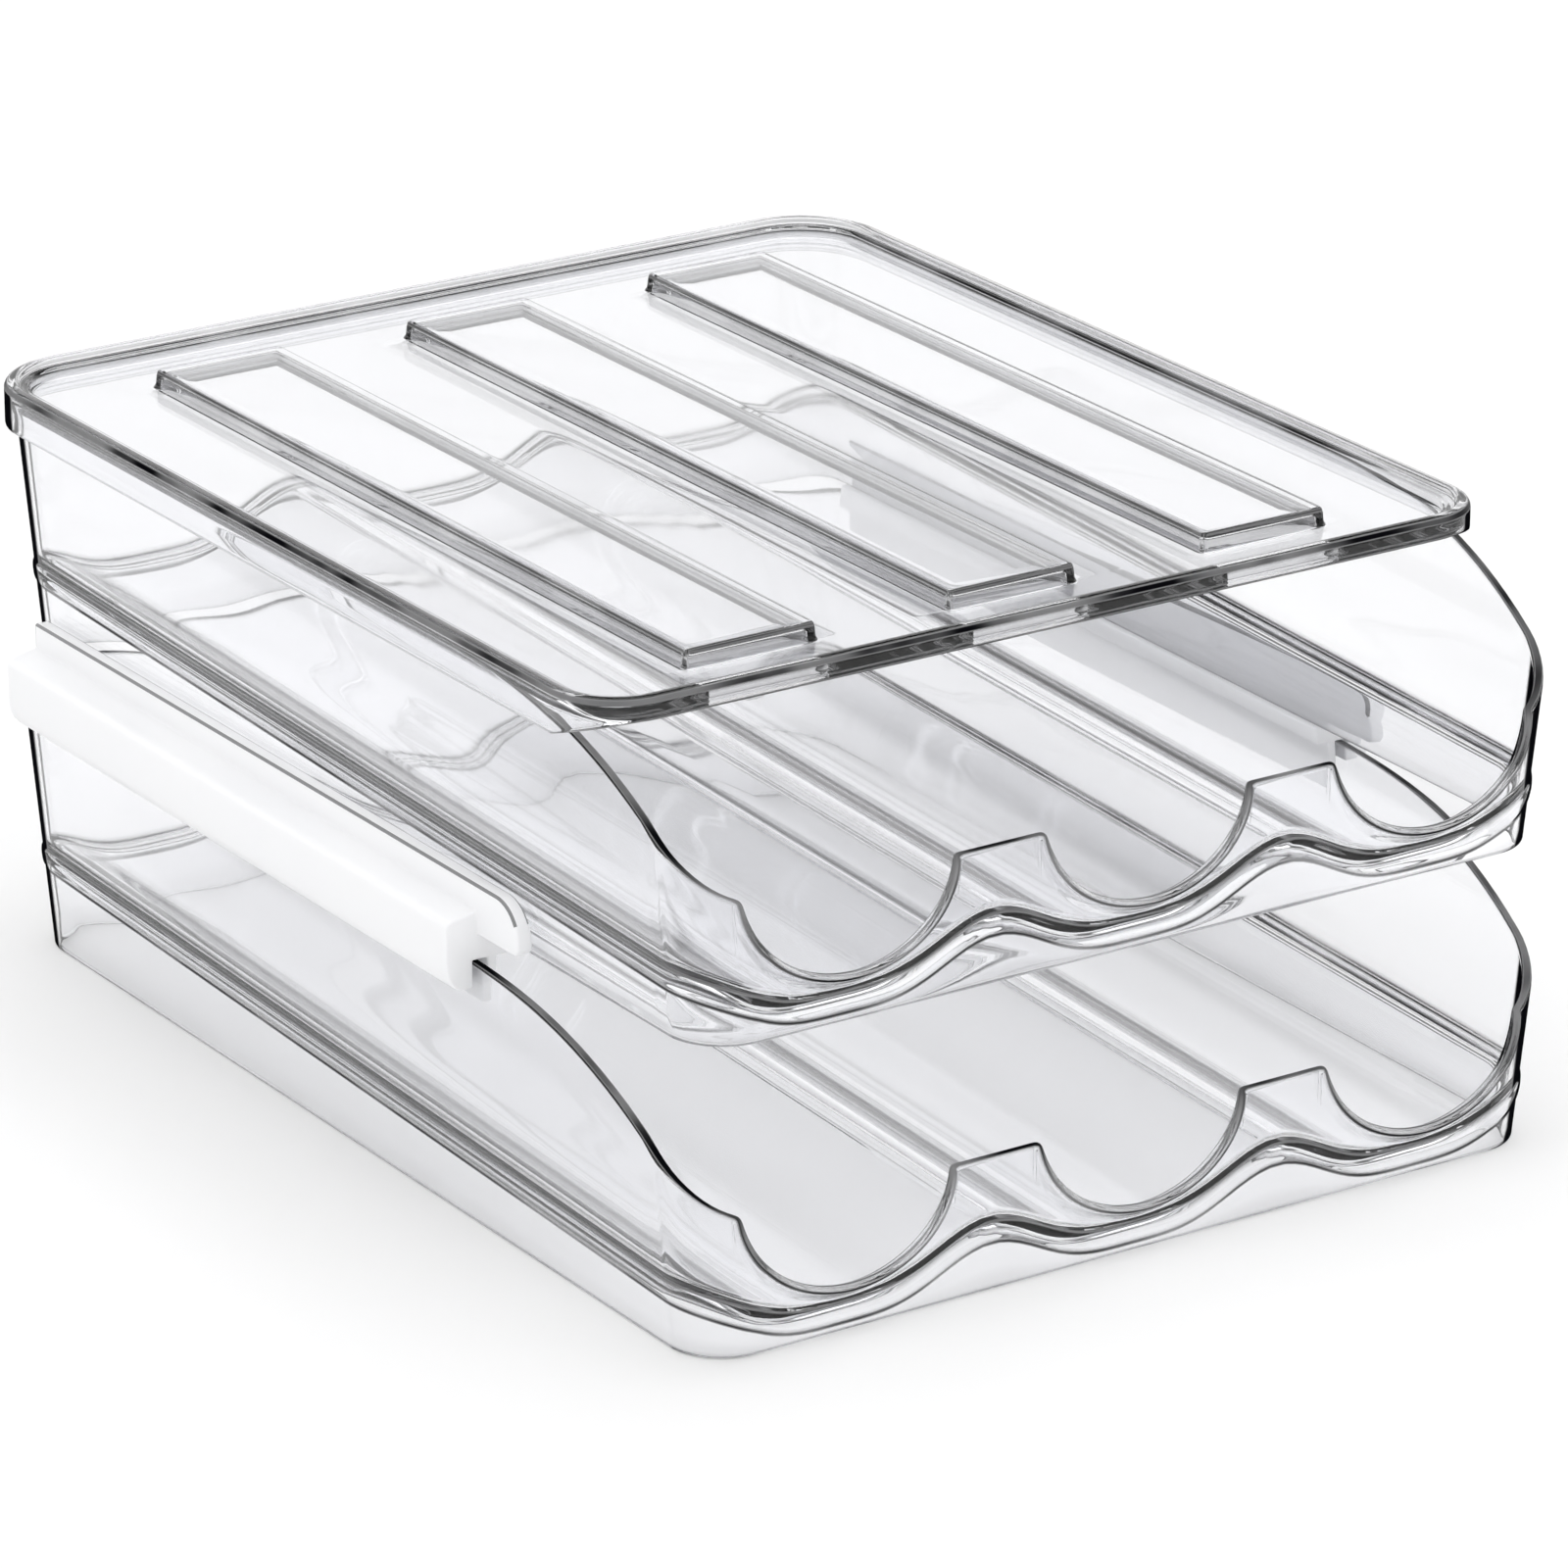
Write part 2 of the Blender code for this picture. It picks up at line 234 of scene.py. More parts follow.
def sweep_top(y_bottom, way_y):
    """Top of the wall: level at the back, sweeping down to the front. The wall leans, so the
    height is found where the leaning wall meets the sweep."""
    z = np.full_like(y_bottom, FRONT_TOP)
    for _ in range(8):
        y = y_bottom + way_y * DRAFT * z
        share = np.clip((BIN_FRONT + SWEEP_START - y) / (SWEEP_START - SWEEP_END), 0.0, 1.0)
        z = BIN_HEIGHT - (BIN_HEIGHT - FRONT_TOP) * share ** SWEEP_POWER
    return z


def front_rim():
    """The top edge along the front, between the ends of the corner arcs: place along the wall,
    height, direction in the wall out of the edge, and share of the lip."""
    along = np.linspace(-ARC_END, ARC_END, 4001)
    _, y, _, way_y = plan_point(along)
    height = sweep_top(y, way_y)
    places, heights, lips = along, height, np.zeros_like(along)
    angle = np.linspace(math.pi, 0.0, 901)
    for lane in LANES:
        centre = lane * LANE_PITCH
        across = centre + SCOOP_HALF * np.cos(angle)
        scoop = np.interp(across, along, height) - SCOOP_DEPTH * np.sin(angle)
        before = places <= centre - SCOOP_HALF
        after = places >= centre + SCOOP_HALF
        heights = np.concatenate([heights[before], scoop, heights[after]])
        lips = np.concatenate([lips[before], np.sin(angle), lips[after]])
        places = np.concatenate([places[before], across, places[after]])
    curve = np.stack([places, heights, lips], 1)
    run = np.concatenate([[0.0], np.cumsum(np.hypot(*np.diff(curve[:, :2], axis=0).T))])
    even = np.arange(0.0, run[-1], RIM_STEP)
    curve = np.stack([np.interp(even, run, column) for column in curve.T], 1)
    weights = np.exp(-0.5 * (np.arange(-BLUR_REACH, BLUR_REACH + 1) / BLUR_WIDTH) ** 2)
    weights /= weights.sum()
    padded = np.pad(curve, ((BLUR_REACH, BLUR_REACH), (0, 0)), mode='edge')
    smooth = np.stack([np.convolve(column, weights, 'valid') for column in padded.T], 1)
    smooth[:, 0] = np.maximum.accumulate(smooth[:, 0])
    tangent = np.gradient(smooth[:, :2], axis=0)
    tangent /= np.linalg.norm(tangent, axis=1)[:, None]
    heading = np.unwrap(np.arctan2(tangent[:, 1], tangent[:, 0]))
    turn = np.abs(np.gradient(heading)) / RIM_STEP
    # grid lines for each millimetre: few on straight runs, more where the rim bends
    density = 0.45 + np.clip(turn * 4.0, 0.0, 2.6)
    total = np.cumsum(density) * RIM_STEP
    spots = np.interp(np.linspace(total[0], total[-1], int(total[-1]) + 1), total,
                      np.arange(len(total)))
    index = np.unique(np.round(spots).astype(int))
    crest = [np.abs(smooth[:, 0] - sign * LANE_PITCH / 2 - edge).argmin()
             for sign in (-1, 1) for edge in CREST_LINES]
    index = np.unique(np.concatenate([index, crest]))
    picked = smooth[index]
    normal = np.stack([-tangent[index, 1], tangent[index, 0]], 1)
    lip = np.clip(picked[:, 2], 0.0, 1.0) ** 0.75
    return picked[:, 0], picked[:, 1], normal, lip


def wave(x):
    """Rise of the floor above its gutters."""
    bump = np.abs(np.sin(np.pi * x / LANE_PITCH)) ** 4
    return RIDGE * np.minimum(bump, RIDGE_FLAT) / RIDGE_FLAT


def floor_top(x, y):
    return FLOOR_LOW + FLOOR_FALL * (y - BIN_FRONT) + wave(x)


def bin_stations():
    """Stations round the wall, starting at the left end of the front: for each, the bottom
    outside point, the outward direction, the rim and its direction, and the lip's share."""
    along, rim, normal, lip = front_rim()
    x, y, way_x, way_y = plan_point(along)
    front = np.stack([x, y, way_x, way_y, along, rim, normal[:, 0], normal[:, 1], lip], 1)

    sides = np.linspace(BIN_FRONT + BIN_CORNER, BIN_BACK - BIN_CORNER, SIDE_LINES)[1:]
    count = len(sides)
    right = np.zeros((count, 9))
    right[:, 0] = BIN_HALF
    right[:, 1] = sides
    right[:, 2] = 1.0
    right[:, 5] = sweep_top(sides, np.zeros(count))
    slope = np.gradient(right[:, 5], sides)
    right[:, 6] = -slope / np.hypot(slope, 1.0)
    right[:, 7] = 1.0 / np.hypot(slope, 1.0)

    def arc(start):
        angle = np.radians(start + np.linspace(0.0, 90.0, BACK_ARC_LINES)[1:-1])
        block = np.zeros((len(angle), 9))
        block[:, 2] = np.cos(angle)
        block[:, 3] = np.sin(angle)
        centre_x = ARC_START if start == 0 else -ARC_START
        block[:, 0] = centre_x + BIN_CORNER * block[:, 2]
        block[:, 1] = BIN_BACK - BIN_CORNER + BIN_CORNER * block[:, 3]
        block[:, 5] = BIN_HEIGHT
        block[:, 7] = 1.0
        return block

    straight = front[np.abs(front[:, 0]) < ARC_START - 1e-6, 0][::-1]
    back_x = np.concatenate([[ARC_START], straight, [-ARC_START]])
    back = np.zeros((len(back_x), 9))
    back[:, 0] = back_x
    back[:, 1] = BIN_BACK
    back[:, 3] = 1.0
    back[:, 5] = BIN_HEIGHT
    back[:, 7] = 1.0

    left = right[::-1].copy()
    left[:, 0] *= -1.0
    left[:, 2] *= -1.0
    return np.concatenate([front, right, arc(0), back, arc(90), left])


def bin_rings(stations):
    """Rings of points from the middle of the floor, up the inside of the wall, over the rim, down
    the outside and back under the floor; with each ring's painted shade, dark lines in place of
    the dark refraction of the polished plastic, and share of an upright corner."""
    x0, y0, way_x, way_y = stations[:, :4].T
    rim = stations[:, 5]
    along_n, up_n, lip = stations[:, 6:].T
    turning = corner_share(way_x, way_y)
    tangent_x = -way_y
    tangent_y = way_x
    rings = []

    def place(out, z, shift=0.0):
        """A point at an offset out of the bottom edge, with the lean of the wall, and a shift
        along the wall."""
        lean = out + DRAFT * z
        return np.stack([x0 + way_x * lean + tangent_x * shift,
                         y0 + way_y * lean + tangent_y * shift,
                         np.broadcast_to(z, x0.shape)], 1)

    def add(points, dark=0.0, upright=1.0):
        rings.append((points, np.broadcast_to(dark, x0.shape), upright * turning))

    def flat(inset, drop, dark=0.0):
        px = x0 + way_x * inset
        py = y0 + way_y * inset
        add(np.stack([px, py, floor_top(px, py) - drop], 1), dark, 0.0)

    edge_floor = floor_top(x0 - way_x * WALL, y0 - way_y * WALL)
    neck = -(1.4 + 0.8 * lip)
    neck_z = rim + neck * up_n
    corner = np.clip(0.45 * (neck_z - edge_floor), 0.08, 1.7)

    # floor, from the inner rectangle out to the wall
    for inset in FLOOR_RINGS:
        flat(inset, 0.0)
    lean_in = DRAFT * edge_floor - WALL
    flat(lean_in - corner - 0.5, 0.0)
    # painted shade: a dark line where the floor turns into its fillet
    flat(lean_in - corner, 0.0, 0.25)
    # a painted dark line partway round the fillet
    for step in range(1, 6):
        angle = math.pi / 2 * step / 5
        out = -WALL - corner * (1 - math.sin(angle))
        z = edge_floor + corner * (1 - math.cos(angle))
        add(place(out, z), 0.55 if step == 2 else 0.0)

    # inside of the wall up to the neck of the rim
    low = edge_floor + corner
    for share in WALL_SHARES:
        add(place(-WALL, low + share * (neck_z - low), share * neck * along_n))

    # rim and lip: a middle line with an even wall on both sides of it
    steps = np.linspace(0.0, 1.0, 9)
    straight = np.stack([np.stack([np.full_like(x0, -WALL / 2), neck + t * (-1.0 - neck)], 1)
                         for t in steps])
    reach = LIP_REACH - WALL / 2
    curl = []
    for t in steps:
        a, b, c = (1 - t) ** 2, 2 * t * (1 - t), t * t
        out = -WALL / 2 * (a + b) + reach * c
        rise = neck * a + (neck * 0.25) * b + (LIP_RISE - 1.0) * c
        curl.append(np.stack([np.broadcast_to(out, x0.shape), rise], 1))
    middle = straight * (1 - lip)[None, :, None] + np.stack(curl) * lip[None, :, None]
    way = np.gradient(middle, axis=0)
    way /= np.linalg.norm(way, axis=2)[:, :, None]
    inward = np.stack([-way[:, :, 1], way[:, :, 0]], 2)

    def rim_point(flat_point):
        out, rise = flat_point.T
        return place(out, rim + rise * up_n, rise * along_n)

    for row in range(len(steps)):
        add(rim_point(middle[row] + inward[row] * WALL / 2))
    # the cap of the rim and lip carries painted shade
    for step in range(1, 10):
        angle = math.pi * step / 10
        tip = middle[-1] + (inward[-1] * math.cos(angle) + way[-1] * math.sin(angle)) * WALL / 2
        add(rim_point(tip),
            WALL_CAP_DARK[step - 1] * (1 - lip) + LIP_CAP_DARK[step - 1] * lip)
    for row in reversed(range(len(steps))):
        add(rim_point(middle[row] - inward[row] * WALL / 2))

    # outside of the wall down to the band
    band_top = np.minimum(edge_floor - 0.2, neck_z - 0.3)
    for share in reversed(WALL_SHARES):
        add(place(0.0, band_top + share * (neck_z - band_top), share * neck * along_n))
    # painted shade: dark lines at the top and bottom of the thick band and across it
    add(place(0.0, band_top + 0.12), 0.8)
    for step in range(9):
        share = step / 8
        swell = BAND_SWELL * math.sin(math.pi * share) ** 0.6
        add(place(swell, band_top - BAND_HEIGHT * share), BAND_DARK[step])
    low = band_top - BAND_HEIGHT
    add(place(0.0, low - 0.15), 1.0)
    add(place(0.0, low - 0.45), 0.8)
    add(place(0.0, low - 0.75))
    add(place(0.0, 0.5 + 0.5 * (low - 1.3)))

    # bottom edge
    for out, z, dark in FOOT_RINGS:
        add(place(out, np.full_like(x0, z)), dark)

    # inside of the foot, its rounded meeting with the floor, and the floor from below
    under = edge_floor - FLOOR_THICKNESS
    fillet = np.clip(0.45 * under, 0.3, 2.4)
    for share in (0.05, 0.5, 0.98):
        add(place(-WALL, 0.45 + share * (under - fillet - 0.45)))
    # a painted dark line partway round the fillet under the floor
    for step in range(1, 6):
        angle = math.pi / 2 * step / 5
        out = -WALL - fillet * (1 - math.cos(angle))
        z = under - fillet * (1 - math.sin(angle))
        add(place(out, z), 0.45 if step == 3 else 0.0)
    lean_in = DRAFT * under - WALL
    flat(lean_in - fillet - 0.6, FLOOR_THICKNESS)
    for inset in UNDER_RINGS:
        flat(inset, FLOOR_THICKNESS)
    return rings


def make_bin(name, lift):
    points, edges, corners = [np.stack(block) for block in zip(*bin_rings(bin_stations()))]
    skin = Skin()
    skin.add_grid(points, edges, corners, closed=True)

    xs = np.unique(np.round(points[0][:, 0], 6))
    ys = np.unique(np.round(points[0][:, 1], 6))
    grid_x, grid_y = np.meshgrid(xs, ys)
    crest = np.abs(np.abs(grid_x) - LANE_PITCH / 2)
    # painted shade: a dark line either side of each ridge's crest
    dark = np.where(np.abs(crest - CREST_EDGE) < 0.25, 0.75, 0.0)
    for drop in (0.0, FLOOR_THICKNESS):
        skin.add_grid(np.stack([grid_x, grid_y, floor_top(grid_x, grid_y) - drop], 2),
                      dark if drop == 0.0 else 0.0, 0.0, closed=False)
    return skin.make(name, lift)


# ---- lid -------------------------------------------------------------------------------------
LID_INNER_X = 88.0             # the flat rectangle inside the rim that carries the panels
LID_INNER_FRONT = LID_FRONT + 15.2
LID_INNER_BACK = BIN_FRONT + 248.4
PANEL_SIDE = np.array([          # distance in from a panel's outer edge, and the rise there
    (-0.7, 0.0), (-0.3, 0.06), (0.0, 0.35), (0.14, 1.4), (0.28, 2.7), (0.5, 3.4),
    (0.85, 3.72), (1.3, 3.8)])
PANEL_INSIDE = np.array([
    (1.5, 0.0), (1.7, 0.25), (1.85, 1.8), (2.0, 3.4), (2.3, 3.75), (2.8, 3.8)])
PANEL_CORNER = 1.6
LID_LINES_ACROSS = 23          # grid lines over the flat rectangle, and round a corner
LID_LINES_ALONG = 34
LID_ARC_LINES = 15
LID_LEAST = 0.1                # grid lines nearer than this are one
GROOVE_STEP = 0.2              # depth of the groove at the front, where the bin has no rim
RIM_RINGS = (                  # distance in from the lid's edge, height, painted shade
    (6.6, PLATE_TOP, 0.0), (6.15, PLATE_TOP + 0.03, 0.0), (5.75, PLATE_TOP + 0.22, 0.35),
    (5.5, PLATE_TOP + 0.6, 0.2), (5.35, 123.8, 0.0), (5.15, 124.25, 0.0),
    (4.85, 124.5, 0.35), (4.45, 124.6, 0.2), (4.0, 124.61, 0.0), (3.5, 124.63, 0.0),
    (3.2, 124.72, 0.2), (3.0, 125.0, 0.6), (2.85, 125.4, 0.4), (2.6, 125.68, 0.0),
    (2.2, 125.8, 0.0), (1.5, 125.8, 0.0), (1.05, 125.76, 0.1), (0.8, 125.66, 0.6),
    (0.45, 125.4, 1.0), (0.2, 125.05, 1.0), (0.05, 124.7, 1.0))
PLATE_SHARES = (1.0, 0.66, 0.33, 0.1)    # of the way from the rim to the flat rectangle
PLATE_EDGE = 6.6                         # where the flat plate meets the rim


def panel_distance(x, y):
    """Distance inside the nearest panel's outline; negative outside it."""
    middle = (PANEL_FRONT + PANEL_BACK) / 2
    end = np.abs(y - middle) - (PANEL_BACK - PANEL_FRONT) / 2 + PANEL_CORNER
    distances = []
    for lane in LANES:
        side = np.abs(x - lane * PANEL_PITCH) - PANEL_HALF + PANEL_CORNER
        outside = np.hypot(np.maximum(side, 0.0), np.maximum(end, 0.0))
        distances.append(PANEL_CORNER - outside - np.minimum(np.maximum(side, end), 0.0))
    return np.max(distances, axis=0)


def lid_stations():
    """Outer points of the lid's plan and outward directions, from the left end of the front."""
    lines = np.unique(np.concatenate([PANEL_SIDE[:, 0], PANEL_INSIDE[:, 0], [5.0, 10.0]]))
    xs = merge_lines(*[[lane * PANEL_PITCH + sign * (PANEL_HALF - line)
                        for line in lines for sign in (-1, 1)] for lane in LANES],
                     np.linspace(-LID_INNER_X, LID_INNER_X, LID_LINES_ACROSS), least=LID_LEAST)
    ys = merge_lines([PANEL_FRONT + line for line in lines],
                     [PANEL_BACK - line for line in lines],
                     np.linspace(LID_INNER_FRONT, LID_INNER_BACK, LID_LINES_ALONG),
                     least=LID_LEAST)
    xs = xs[np.abs(xs) < LID_INNER_X]
    ys = ys[(ys > LID_INNER_FRONT) & (ys < LID_INNER_BACK)]

    stations = []

    def line(points, way):
        for x, y in points:
            stations.append((x, y, way[0], way[1],
                             np.clip(x, -LID_INNER_X, LID_INNER_X),
                             np.clip(y, LID_INNER_FRONT, LID_INNER_BACK)))

    def arc(side, front):
        radius = LID_FRONT_CORNER if front else LID_BACK_CORNER
        start = {(1, True): -90, (1, False): 0, (-1, False): 90, (-1, True): 180}[(side, front)]
        centre_x = side * (LID_HALF - radius)
        centre_y = LID_FRONT + radius if front else LID_BACK - radius
        for angle in np.radians(start + np.linspace(0, 90, LID_ARC_LINES)):
            way = (math.cos(angle), math.sin(angle))
            stations.append((centre_x + radius * way[0], centre_y + radius * way[1], *way,
                             side * LID_INNER_X, LID_INNER_FRONT if front else LID_INNER_BACK))

    line([(x, LID_FRONT) for x in xs], (0.0, -1.0))
    arc(1, True)
    line([(LID_HALF, y) for y in ys], (1.0, 0.0))
    arc(1, False)
    line([(x, LID_BACK) for x in xs[::-1]], (0.0, 1.0))
    arc(-1, False)
    line([(-LID_HALF, y) for y in ys[::-1]], (-1.0, 0.0))
    arc(-1, True)
    return np.array(stations)


def make_lid(name):
    stations = lid_stations()
    x0, y0, way_x, way_y, inner_x, inner_y = stations.T
    behind = y0 - LID_FRONT
    skirt = np.interp(behind, [0.5, LID_FRONT_CORNER], [LID_FRONT_LOW, LID_LOW])
    groove = smoothstep(2.0, 14.0, behind)
    groove_top = PLATE_LOW + GROOVE_STEP + groove * (GROOVE_TOP - PLATE_LOW - GROOVE_STEP)
    at_front = 1.0 - smoothstep(4.0, 20.0, behind)
    turning = corner_share(way_x, way_y)
    rings = []

    def add(inset, z, dark=0.0, upright=0.0):
        inset = np.broadcast_to(inset, x0.shape)
        rings.append((np.stack([x0 - way_x * inset, y0 - way_y * inset,
                                np.broadcast_to(z, x0.shape)], 1),
                      np.broadcast_to(dark, x0.shape), upright * turning))

    def toward_inner(share, inset, z):
        px = (x0 - way_x * inset) * (1 - share) + inner_x * share
        py = (y0 - way_y * inset) * (1 - share) + inner_y * share
        rings.append((np.stack([px, py, np.full_like(px, z)], 1), np.zeros_like(px),
                      np.zeros_like(px)))

    for share in PLATE_SHARES:
        toward_inner(share, PLATE_EDGE, PLATE_TOP)
    for inset, z, dark in RIM_RINGS:
        add(inset, z, dark)
    # painted shade round the skirt, darker towards the front
    add(0.0, 124.4, 0.6, 1.0)
    add(0.0, 123.9, 0.0, 1.0)
    add(0.0, (123.0 + skirt) / 2, 0.0, 1.0)
    add(0.0, skirt + 0.75, 0.05 + 0.25 * at_front, 1.0)
    add(0.08, skirt + 0.3, 0.25 + 0.65 * at_front, 1.0)
    add(0.4, skirt + 0.02, 0.3 + 0.7 * at_front)
    add(0.8, skirt, 0.2 + 0.3 * at_front)
    add(LID_SKIRT - 0.4, skirt + 0.02, 0.2 + 0.4 * at_front)
    add(LID_SKIRT - 0.05, np.minimum(skirt + 0.3, groove_top), 0.1 + 0.3 * at_front)
    add(LID_SKIRT, np.minimum(skirt + 0.75, groove_top), 0.0)
    add(LID_SKIRT, skirt + 0.6 * np.maximum(groove_top - skirt, 0.0))
    add(LID_SKIRT + 0.05, np.maximum(groove_top - 0.35, skirt), 0.3)
    add(LID_SKIRT + 0.4, groove_top, 0.5)
    add(3.9, groove_top, 0.3)
    add(4.25, groove_top - 0.35 * groove, 0.3)
    add(4.3, PLATE_LOW + 0.35 * groove + 0.2 * (1 - groove), 0.2)
    add(4.6, PLATE_LOW + 0.03 + 0.1 * (1 - groove), 0.5)
    add(5.2, PLATE_LOW)
    for share in reversed(PLATE_SHARES):
        toward_inner(share, PLATE_EDGE, PLATE_LOW)

    skin = Skin()
    skin.add_grid(*[np.stack(block) for block in zip(*rings)], closed=True)
    xs = np.unique(np.round(inner_x, 6))
    ys = np.unique(np.round(inner_y, 6))
    grid_x, grid_y = np.meshgrid(xs, ys)
    inside = panel_distance(grid_x, grid_y)
    top = PLATE_TOP + np.interp(inside, *PANEL_SIDE.T) * PANEL_RISE / PANEL_SIDE[-1, 1]
    low = PLATE_LOW + np.interp(inside, *PANEL_INSIDE.T)
    # painted shade: dark lines along the shoulder and the foot of each panel
    shoulder = np.exp(-((inside - 0.55) / 0.3) ** 2) + 0.7 * np.exp(-((inside + 0.15) / 0.2) ** 2)
    skin.add_grid(np.stack([grid_x, grid_y, top], 2), np.clip(shoulder, 0, 1), 0.0,
                  closed=False)
    foot = 0.6 * np.exp(-((inside - 1.95) / 0.25) ** 2)
    skin.add_grid(np.stack([grid_x, grid_y, low], 2), foot, 0.0, closed=False)
    return skin.make(name)


# ---- brackets ----------------------------------------------------------------------------------
BRACKET_FRONT = BIN_FRONT + 72.7
BRACKET_BACK = BIN_FRONT + 248.0
BRACKET_NOSE = BIN_FRONT + 57.5
PLATE_IN, PLATE_OUT = 101.4, 104.7
GRIP = 111.5
BRACKET_TOP = 75.3
BRACKET_NOSE_LOW = 65.0
EDGE_ROUNDING = 0.5
FIT_GAP = 0.3                  # between the bracket and each bin
RIM_HIGH = BIN_HEIGHT + FIT_GAP
LEDGE = TIER - FIT_GAP
NOSE_RADIUS = 8.0
NOSE_BEVEL = 1.2
NOSE_STEPS = 12
NOSE_OVERLAP = 10.0            # how far the nose runs back into the bar
BRACKET_SECTION = (            # distance out from the middle of the tray, height
    (97.2, LEDGE), (97.2, RIM_HIGH), (100.1, RIM_HIGH), (100.1, 50.5), (102.1, 50.5),
    (102.1, RIM_HIGH), (105.5, RIM_HIGH), (105.5, 53.9), (108.1, 53.9), (109.3, 54.4),
    (110.4, 55.6), (111.1, 57.2), (111.4, 58.8), (GRIP, 60.5), (GRIP, 67.2),
    (111.3, 67.9), (110.9, 68.4), (110.2, 68.75), (109.2, 69.0), (PLATE_OUT, 69.9),
    (PLATE_OUT, BRACKET_TOP), (PLATE_IN, BRACKET_TOP), (PLATE_IN, LEDGE))
PLATE_FOOT = 71.0              # only the plate's edges above this get the painted grey shade lines


def prism(outline, direction):
    """An outline pushed along a direction, with a slot for the faces and one for the painted
    shade lines on its edges.
    """
    bm = bmesh.new()
    face = bm.faces.new([bm.verts.new(Vector(point) * MM) for point in outline])
    top = bmesh.ops.extrude_face_region(bm, geom=[face])["geom"]
    moved = [item for item in top if isinstance(item, bmesh.types.BMVert)]
    bmesh.ops.translate(bm, verts=moved, vec=Vector(direction) * MM)
    bmesh.ops.recalc_face_normals(bm, faces=bm.faces[:])
    mesh = bpy.data.meshes.new("prism")
    mesh.materials.append(white)
    mesh.materials.append(painted_edge_grey)
    bm.to_mesh(mesh)
    bm.free()
    return add_object("prism", mesh)


def make_bracket(name, side):
    bar = prism([(side * x, BRACKET_FRONT, z) for x, z in BRACKET_SECTION],
                (0, BRACKET_BACK - BRACKET_FRONT, 0))
    root = BRACKET_FRONT + NOSE_OVERLAP
    nose = [(root, BRACKET_NOSE_LOW), (BRACKET_NOSE + NOSE_BEVEL, BRACKET_NOSE_LOW),
            (BRACKET_NOSE, BRACKET_NOSE_LOW + NOSE_BEVEL)]
    for step in range(NOSE_STEPS + 1):
        angle = math.pi / 2 * step / NOSE_STEPS
        nose.append((BRACKET_NOSE + NOSE_RADIUS * (1 - math.cos(angle)),
                     BRACKET_TOP - NOSE_RADIUS * (1 - math.sin(angle))))
    nose.append((root, BRACKET_TOP))
    tip = prism([(side * PLATE_IN, y, z) for y, z in nose],
                (side * (PLATE_OUT - PLATE_IN), 0, 0))
    join = bar.modifiers.new("join", 'BOOLEAN')
    join.object = tip
    join.operation = 'UNION'
    join.solver = 'EXACT'
    bpy.context.view_layer.update()
    evaluated = bar.evaluated_get(bpy.context.evaluated_depsgraph_get())
    mesh = bpy.data.meshes.new_from_object(evaluated)
    mesh.name = name
    bpy.data.objects.remove(bar)
    bpy.data.objects.remove(tip)
    bm = bmesh.new()
    bm.from_mesh(mesh)
    bmesh.ops.remove_doubles(bm, verts=bm.verts[:], dist=0.00001)
    bmesh.ops.dissolve_limit(bm, angle_limit=math.radians(1), verts=bm.verts[:],
                             edges=bm.edges[:])
    sharp = [edge for edge in bm.edges if edge.calc_face_angle(0.0) > math.radians(40)]
    # the rounded edges get the second slot: grey painted shade lines along them
    bmesh.ops.bevel(bm, geom=sharp, offset=EDGE_ROUNDING * MM, offset_type='OFFSET',
                    segments=3, profile=0.5, affect='EDGES', clamp_overlap=False, material=1)
    for face in bm.faces:
        face.smooth = True
        if face.calc_center_median().z < PLATE_FOOT * MM:
            face.material_index = 0
    bm.to_mesh(mesh)
    bm.free()
    mesh.set_sharp_from_angle(angle=math.radians(30))
    return add_object(name, mesh)


# ---- materials ---------------------------------------------------------------------------------
def new_material(name):
    material = bpy.data.materials.new(name)
    material.use_nodes = True
    nodes = material.node_tree.nodes
    return material, nodes, material.node_tree.links, nodes["Principled BSDF"]


def add_noise(nodes, links, scale, detail):
    coordinates = nodes.new("ShaderNodeTexCoord")
    noise = nodes.new("ShaderNodeTexNoise")
    noise.inputs["Scale"].default_value = scale
    noise.inputs["Detail"].default_value = detail
    links.new(coordinates.outputs["Object"], noise.inputs["Vector"])
    return noise.outputs["Fac"]


def add_range(nodes, links, source, low, high, start=0.3, end=0.7):
    node = nodes.new("ShaderNodeMapRange")
    node.inputs["From Min"].default_value = start
    node.inputs["From Max"].default_value = end
    node.inputs["To Min"].default_value = low
    node.inputs["To Max"].default_value = high
    node.interpolation_type = 'SMOOTHSTEP'
    links.new(source, node.inputs["Value"])
    return node.outputs["Result"]


